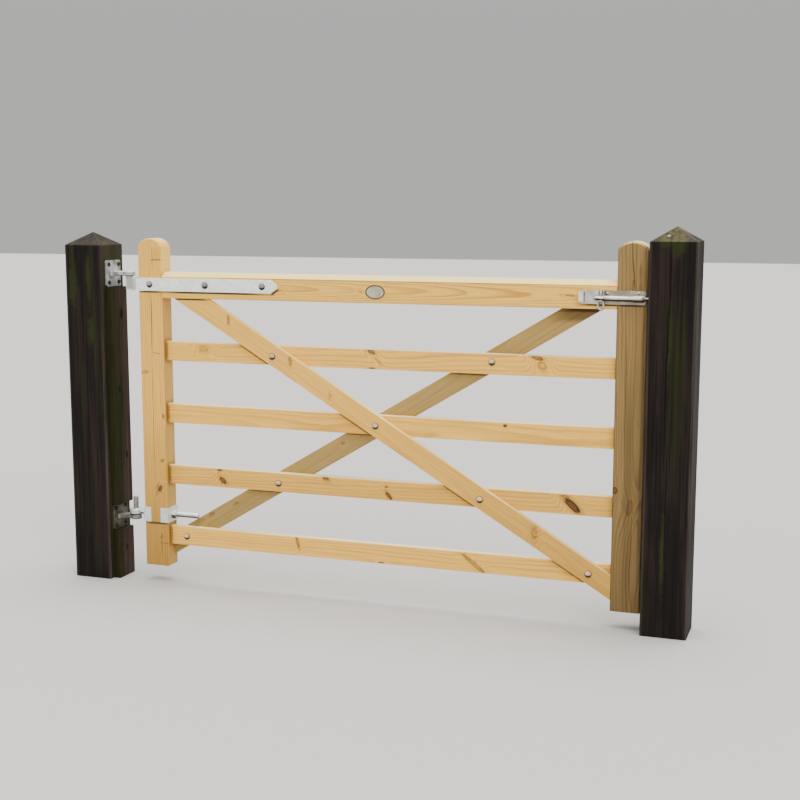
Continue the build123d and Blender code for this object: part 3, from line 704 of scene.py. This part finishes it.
clad(
    "shutting_stile",
    timber(
        "shutting_stile", upright, heart=(0.02, 2.02), tilt=(0.003, 0.006), tones=darker_tones, figure=0.65,
        knots=[
            (1.949, 0.466, 0.011, 0.008, 0, 0.85), (1.997, 0.412, 0.026, 0.010, 10, 0.3),
            (1.992, 1.1287, 0.02, 0.003, 0, 0.5),
        ],
        splits=[
            (1.9855, 1.245, 0.04, 0.0011, -4), (1.9925, 1.172, 0.052, 0.0019, -7),
            (1.975, 0.76, 0.2, 0.0011, 0), (2.008, 0.27, 0.16, 0.0011, 0),
        ],
        # A painted shadow under the latch plate, and darker lines down the stile.
        light_shade_and_dirt=[
            (1.9875, 1.0672, 0.004, 0.047, 0, 0.9), (2.031, 0.68, 0.6, 0.007, 0, 0.35),
            (1.9425, 0.55, 0.5, 0.003, 0, 0.4), (1.99, 0.42, 0.44, 0.014, 0, 0.3),
        ],
        top_highlight=0.9, rings=0.0105, sway=0.085, low=0.66,
    ),
)

# Top rail
# The deepest rail, planed softwood tenoned into both stiles, with a ridge that sheds the rain.
# It is sawn close to the heart, so long pointed loops of grain run along its face.
top_rail_tones = ((1.0, 0.58, 0.1), (0.56, 0.23, 0.025), (0.92, 0.56, 0.08))
clad(
    "top_rail",
    timber(
        "top_rail", 0.0, heart=(0.05, -1.093), tilt=(0.02, 0.004), tones=top_rail_tones, figure=0.85,
        knots=[
            (0.770, 1.090, 0.007, 0.004, 0, 0.25), (1.066, 1.092, 0.006, 0.004, 20, 0.2),
            (1.790, 1.0954, 0.014, 0.0028, 5, 0.6),
        ],
        # Painted shadows under the strap, round its tip, under the ridge, under the latch plate and along
        # the bottom edge.
        light_shade_and_dirt=[
            (0.51, 1.0755, 0.222, 0.0042, 0, 0.95), (0.7465, 1.0835, 0.02, 0.004, -34, 0.95),
            (0.748, 1.1205, 0.015, 0.0018, 34, 0.45), (1.12, 1.1292, 0.83, 0.0022, 0, 0.5),
            (1.9, 1.0672, 0.085, 0.004, 0, 0.9), (1.12, 1.0555, 0.83, 0.0016, 0, 0.3),
        ],
        top_highlight=0.9, rings=0.0048, sway=0.02,
    ),
)

# Rails
# Four boards of planed softwood below the top rail, tenoned into mortises in the stiles. Each
# shows its own knots, painted shadows where the brace and the stiles meet it, and a painted
# highlight along its top edge.
brace_slope = math.atan(0.5994)
brace_degrees = math.degrees(brace_slope)
brace_head = (0.413, 1.054)
shadow_below_brace = 0.0415
hanging_joint = 0.3025
shutting_joint = 1.938
rail_middle = 1.12
top_edge_rise = 0.034
# Each rail's heart, its level, how light the painted shade leaves it at the ground, and its knots
rail_marks = {
    "rail_2": (
        (0.09, -0.9), 0.8605, 0.88, [
            (0.450, 0.8725, 0.017, 0.010, 0, 0.25), (1.095, 0.886, 0.014, 0.006, 25, 0.7),
            (1.1175, 0.857, 0.013, 0.004, 35, 0.3), (1.0978, 0.8265, 0.009, 0.004, 0, 0.85),
            (1.678, 0.888, 0.02, 0.007, 20, 0.7), (1.694, 0.861, 0.015, 0.010, 20, 0.25),
        ],
    ),
    "rail_3": ((0.07, -0.6), 0.632, 0.88, [(1.5725, 0.6546, 0.0055, 0.0042, 0, 1.0)]),
    "rail_4": (
        (0.08, -0.46), 0.4035, 0.66, [
            (0.505, 0.434, 0.009, 0.005, 0, 0.9), (0.5176, 0.3946, 0.015, 0.0075, 40, 0.85),
            (0.922, 0.4315, 0.011, 0.005, 10, 0.7), (1.150, 0.4156, 0.005, 0.0035, 0, 0.7),
            (1.159, 0.385, 0.015, 0.0055, 50, 0.85), (1.806, 0.400, 0.03, 0.0105, 42, 1.0),
            (1.8, 0.394, 0.025, 0.003, 42, 1.0), (1.781, 0.428, 0.013, 0.005, 10, 0.35),
        ],
    ),
    "rail_5": (
        (0.06, -0.12), 0.175, 1.0, [
            (0.811, 0.189, 0.02, 0.0045, 75, 0.6), (1.469, 0.169, 0.048, 0.006, 37, 0.5),
            (1.13, 0.1405, 0.009, 0.004, 0, 0.7),
        ],
    ),
}
for rail, (heart, level, low, knots) in rail_marks.items():
    brace_drop = brace_head[1] - shadow_below_brace / math.cos(brace_slope) - level
    brace_edge = brace_head[0] + brace_drop / math.tan(brace_slope)
    # Painted shadows below the brace and beside both stiles, and a painted highlight along the top edge.
    rail_light_and_shade = [
        (brace_edge, level, 0.085, 0.0068, brace_degrees, 0.85),
        (hanging_joint, level, 0.036, 0.0045, 90, 0.55), (shutting_joint, level, 0.036, 0.0035, 90, 0.35),
        (rail_middle, level + top_edge_rise, 0.82, 0.0022, 0, -0.6),
    ]
    wood = timber(
        rail, 0.0, heart, tilt=(0.012, 0.01), tones=fresh_tones, figure=0.55, knots=knots, light_shade_and_dirt=rail_light_and_shade,
        top_highlight=0.9, low=low,
    )
    clad(rail, wood)

# Braces
# Two diagonal boards of planed softwood, one on the front of the rails and one on the back.
# They cross at the third rail, and one bolt there goes through both. The rear brace is painted
# in darker tones as shade, with painted shadows under the top rail and under each rail.
clad(
    "front_brace",
    timber(
        "front_brace", -brace_slope, heart=(0.07, -1.08), tilt=(0.01, 0.012), tones=warm_tones, figure=0.35,
        knots=[
            (0.5626, 0.982, 0.015, 0.004, 59, 0.5), (0.7999, 0.8442, 0.014, 0.005, 55, 0.45),
            (0.9495, 0.727, 0.011, 0.005, 60, 0.2), (1.683, 0.300, 0.02, 0.009, 60, 0.25),
        ],
        # A painted shadow under the top rail.
        light_shade_and_dirt=[(0.41, 1.0518, 0.08, 0.0048, -brace_degrees, 0.95)],
        top_highlight=0.9, low=0.64,
    ),
)
clad(
    "rear_brace",
    timber(
        "rear_brace", brace_slope, heart=(0.06, 0.02), tilt=(0.01, 0.01), tones=shaded_tones, figure=0.4,
        knots=[
            (0.559, 0.3077, 0.006, 0.003, 0, 0.45), (0.458, 0.26, 0.008, 0.0035, 0, 0.45),
            (0.979, 0.5565, 0.008, 0.004, 0, 0.4),
        ],
        # Painted shadows under the top rail and under each rail.
        light_shade_and_dirt=[
            (1.86, 1.05, 0.12, 0.012, brace_degrees, 0.92),
            (1.86, 1.035, 0.14, 0.03, brace_degrees, 0.55),
            (1.446, 0.8205, 0.08, 0.004, brace_degrees, 0.75),
            (1.065, 0.592, 0.08, 0.004, brace_degrees, 0.75),
            (0.683, 0.3635, 0.08, 0.004, brace_degrees, 0.75),
        ],
    ),
)

# Brace bolts
# Zinc plated coach bolts with domed heads in front, and a washer and nut behind. The bolt
# through the crossing is the longest.
brace_face = 0.033
rail_face = 0.011
front_bolts = [(0.7317, 0.8578), (1.1176, 0.6317), (1.493, 0.401), (1.8667, 0.1775)]
rear_bolts = [(1.5246, 0.8666), (0.739, 0.3994), (0.3646, 0.1729)]
nut_zinc = steel("nut_zinc", (0.74, 0.73, 0.7), (0.5, 0.48, 0.44), roughness=0.34, metallic=0.7)
# The domed heads are painted darker towards their rims and lower halves, as shade.
bolt_zinc = steel(
    "bolt_zinc", (0.9, 0.64, 0.48), (0.62, 0.4, 0.28), roughness=0.38, metallic=0.1, turned_edge=0.16
)
coach_head = dome(radius=0.012, rise=0.0058, edge=0.0014)
for name, face, bolts in (
    ("front_brace_bolt_heads", brace_face, front_bolts), ("rear_brace_bolt_heads", rail_face, rear_bolts),
):
    heads = copies(coach_head, name, [(x, -face, z) for x, z in bolts], to_front)
    dress(heads, bolt_zinc, "gate_leaf")


def threaded(radius, depth, pitch, length, sides):
    """A screw thread on the Z axis from Z = 0, cut off square at both ends and filled."""
    same_place = 1e-6
    rod = start(
        bpy.ops.mesh.primitive_circle_add, vertices=4, radius=pitch / 2, fill_type="NOTHING",
        location=(0, 0, 0),
    )
    pick(rod, lambda corner: corner.co.x < -pitch * 0.1, "VERT")
    bpy.ops.mesh.delete(type="VERT")
    bpy.ops.mesh.select_all(action="SELECT")
    bpy.ops.transform.rotate(value=-math.pi / 2, orient_axis="X", center_override=(0, 0, 0))
    bpy.ops.transform.resize(value=(depth / (pitch / 2), 1, 1), center_override=(0, 0, 0))
    bpy.ops.transform.translate(value=(radius - depth, 0, -pitch))
    bpy.ops.object.mode_set(mode="OBJECT")
    turns = rod.modifiers.new("turns", "SCREW")
    turns.axis = "Z"
    turns.screw_offset = pitch
    turns.iterations = math.ceil(length / pitch) + 3
    turns.steps = sides
    turns.render_steps = sides
    turns.use_merge_vertices = True
    turns.merge_threshold = same_place
    bpy.ops.object.modifier_apply(modifier="turns")
    pick(rod, lambda corner: True, "VERT")
    bpy.ops.mesh.remove_doubles(threshold=same_place)
    bpy.ops.mesh.select_all(action="SELECT")
    bpy.ops.mesh.bisect(plane_co=(0, 0, 0), plane_no=(0, 0, 1), use_fill=True, clear_inner=True)
    bpy.ops.mesh.select_all(action="SELECT")
    bpy.ops.mesh.bisect(plane_co=(0, 0, length), plane_no=(0, 0, 1), use_fill=True, clear_outer=True)
    bpy.ops.mesh.select_all(action="SELECT")
    bpy.ops.mesh.normals_make_consistent(inside=False)
    bpy.ops.object.mode_set(mode="OBJECT")
    return rod


def hexagon_nut(across_flats, height, washer_radius, washer, stub):
    """A chamfered nut on the plane Z = 0, with a washer below it and the bolt's end above."""
    chamfer = 0.001
    nut = start(
        bpy.ops.mesh.primitive_cylinder_add, vertices=6, radius=across_flats / math.sqrt(3),
        depth=height - chamfer, location=(0, 0, 0),
    )
    pick(nut, faces_up)
    raise_face(chamfer, 0.88)
    raise_face(0.0, 0.66)
    raise_face(-0.0012, 0.9)
    bpy.ops.object.mode_set(mode="OBJECT")
    nut.location = (0, 0, washer + (height - chamfer) / 2)
    ring = start(
        bpy.ops.mesh.primitive_cylinder_add, vertices=28, radius=washer_radius, depth=washer,
        location=(0, 0, washer / 2),
    )
    pick(ring, faces_up)
    raise_face(0.0004, 0.95)
    bpy.ops.object.mode_set(mode="OBJECT")
    end = threaded(radius=0.005, depth=0.0008, pitch=0.0015, length=height + washer + stub, sides=14)
    bpy.ops.object.select_all(action="DESELECT")
    for part in (nut, ring, end):
        part.select_set(True)
    bpy.context.view_layer.objects.active = nut
    bpy.ops.object.join()
    bpy.ops.object.transform_apply(location=True, rotation=True, scale=True)
    return bpy.context.object


washered_nut = hexagon_nut(across_flats=0.017, height=0.008, washer_radius=0.0135, washer=0.0016, stub=0.005)
nut_places = [(x, rail_face, z) for x, z in front_bolts if x != front_bolts[1][0]]
nut_places += [(x, brace_face, z) for x, z in rear_bolts + front_bolts[1:2]]
brace_nuts = copies(washered_nut, "brace_bolt_nuts", nut_places, to_back)
dress(brace_nuts, nut_zinc, "gate_leaf")
scrap(washered_nut)

# Strap hinge
# A long galvanised strap on each side of the top rail, folded round the upper pin, and held
# by three coach bolts with domed heads in front and nuts behind.
strap_level = 1.102
strap_face = 0.039
strap_bolts = (0.252, 0.475, 0.698)
strap_nut_places = [(x, strap_face, strap_level) for x in strap_bolts]
strap_head_places = [(x, -strap_face, strap_level) for x in strap_bolts]
strap_coat = steel(
    "strap_coat", (0.98, 1.0, 0.98), (0.88, 0.92, 0.91), roughness=0.4, metallic=0.05,
    # Painted shade on the fold round the pin, and a painted highlight along the lower edge.
    marks=[
        (0.153, strap_level, 0.012, 0.03, 0, 0.62), (0.169, strap_level, 0.002, 0.03, 0, 0.9),
        (0.185, strap_level, 0.0035, 0.03, 0, 0.3), (0.194, strap_level, 0.0018, 0.03, 0, 0.5),
        (0.45, 1.081, 0.33, 0.0022, 0, -0.7),
    ],
)
clad("strap_hinge", strap_coat)
# These heads too are painted darker towards their rims and lower halves, as shade.
strap_bolt_zinc = steel(
    "strap_bolt_zinc", (0.5, 0.48, 0.42), (0.3, 0.27, 0.22), roughness=0.25, metallic=0.5, turned_edge=0.2
)
strap_heads = copies(coach_head, "strap_bolt_heads", strap_head_places, to_front)
dress(strap_heads, strap_bolt_zinc, "gate_leaf")
scrap(coach_head)
plain_nut = hexagon_nut(across_flats=0.017, height=0.008, washer_radius=0.0115, washer=0.001, stub=0.004)
strap_nuts = copies(plain_nut, "strap_bolt_nuts", strap_nut_places, to_back)
dress(strap_nuts, nut_zinc, "gate_leaf")
scrap(plain_nut)

# Eye bolt
# The adjustable lower hinge, galvanised: an eye on a threaded rod through the hanging stile,
# with a bent plate and a nut on each side of the stile to set the leaf's hang.
eye_level = 0.2515
thread_start = 0.3215
bright_coat = steel("bright_coat", (0.74, 0.75, 0.78), (0.52, 0.54, 0.57), roughness=0.36, metallic=0.45)
for node in ("eye_bolt", "outer_nut", "inner_nut"):
    clad(node, bright_coat)
for node in ("outer_saddle", "inner_saddle"):
    saddle_coat = steel(
        node + "_coat", (0.8, 0.83, 0.82), (0.66, 0.69, 0.68), roughness=0.45, metallic=0.3
    )
    clad(node, saddle_coat)
rod_thread = threaded(radius=0.01, depth=0.0006, pitch=0.0025, length=0.086, sides=32)
eye_bolt_thread = copies(rod_thread, "eye_bolt_thread", [(thread_start, 0, eye_level)], to_latch)
scrap(rod_thread)
dress(eye_bolt_thread, bright_coat, "gate_leaf")

# Oval plate
# A small plate pressed from galvanised sheet and fixed to the middle of the top rail's face.
# It is bare inside its raised rim, and its outer edge is painted dark as a shaded outline.
oval_middle = 1.119
oval_level = 1.092
oval_face = 0.0352
oval_half_length = 0.035
oval_half_height = 0.024
rim_width = 0.0025
oval = start(bpy.ops.mesh.primitive_cylinder_add, vertices=64, radius=1, depth=0.0012, location=(0, 0, 0))
pick(oval, lambda face: True)
bpy.ops.transform.resize(value=(oval_half_length, oval_half_height, 1), center_override=(0, 0, 0))
pick(oval, faces_up)
bpy.ops.mesh.extrude_region_move(TRANSFORM_OT_translate={"value": (0, 0, 0.0008)})
bpy.ops.mesh.inset(thickness=0.0007)
bpy.ops.mesh.inset(thickness=0.0016)
bpy.ops.mesh.inset(thickness=0.0008, depth=-0.0009)
bpy.ops.object.mode_set(mode="OBJECT")
oval_coat = steel(
    "oval_plate_coat", (0.57, 0.52, 0.37), (0.4, 0.36, 0.25), roughness=0.5, metallic=0.15,
    rim=(oval_middle, oval_level, oval_half_length - rim_width, oval_half_height - rim_width),
)
oval_plate = copies(oval, "oval_plate", [(oval_middle, -oval_face, oval_level)], to_front)
dress(oval_plate, oval_coat, "gate_leaf")
scrap(oval)

# Latch
# A zinc plated sliding bolt on a strip that is screwed to the top rail and the shutting
# stile. The ring handle hangs from the bar, which slides in a flanged barrel.
bar_level = 1.089
flange_face = 0.0405
latch_zinc = steel(
    "latch_zinc", (0.7, 0.69, 0.63), (0.48, 0.46, 0.4), roughness=0.36, metallic=0.45, grime=0.22,
    grime_colour=(0.16, 0.13, 0.1), under=0.05,
    # A painted highlight on the strip's left end, and painted shade at its bend and behind the handle's
    # stub.
    marks=[
        (1.8255, 1.0925, 0.008, 0.018, 0, -0.8), (1.8365, 1.0925, 0.0022, 0.02, 0, 0.85),
        (1.8897, 1.1065, 0.0075, 0.009, 0, 0.85),
    ],
)
clad("latch_plate", latch_zinc)
guide_zinc = steel(
    "guide_zinc", (0.52, 0.43, 0.33), (0.32, 0.26, 0.2), roughness=0.34, metallic=0.4, grime=0.2,
    grime_colour=(0.14, 0.1, 0.07), under=0.03,
    # A painted highlight along the barrel, and painted shade at both ends and its upper left corner.
    marks=[
        (1.965, 1.0905, 0.064, 0.0085, 0, -0.5), (2.027, bar_level, 0.004, 0.011, 0, 0.75),
        (1.903, bar_level, 0.0018, 0.012, 0, 0.5), (1.9055, 1.106, 0.006, 0.009, 0, 0.7),
    ],
)
clad("latch_guide", guide_zinc)
bar_zinc = steel(
    "bar_zinc", (0.8, 0.79, 0.74), (0.6, 0.58, 0.53), roughness=0.3, metallic=0.8, under=0.03,
    # Painted shade on both ends of the bar.
    marks=[(1.877, bar_level, 0.011, 0.01, 0, 0.6), (2.04, bar_level, 0.014, 0.01, 0, 0.7)],
)
clad("latch_bar", bar_zinc)
handle_zinc = steel(
    "handle_zinc", (0.66, 0.64, 0.6), (0.48, 0.46, 0.42), roughness=0.35, metallic=0.6,
    # A painted highlight on the handle's stub.
    marks=[(1.891, 1.112, 0.004, 0.006, 0, -0.8)],
)
clad("latch_handle", handle_zinc)
small_head = dome(radius=0.0046, rise=0.0024, edge=0.0006, sides=20)
latch_screws = copies(
    small_head, "latch_screws", [(1.912, -flange_face, 1.1055), (2.012, -flange_face, 1.1075)], to_front
)
scrap(small_head)
dress(latch_screws, bar_zinc, "gate_leaf")
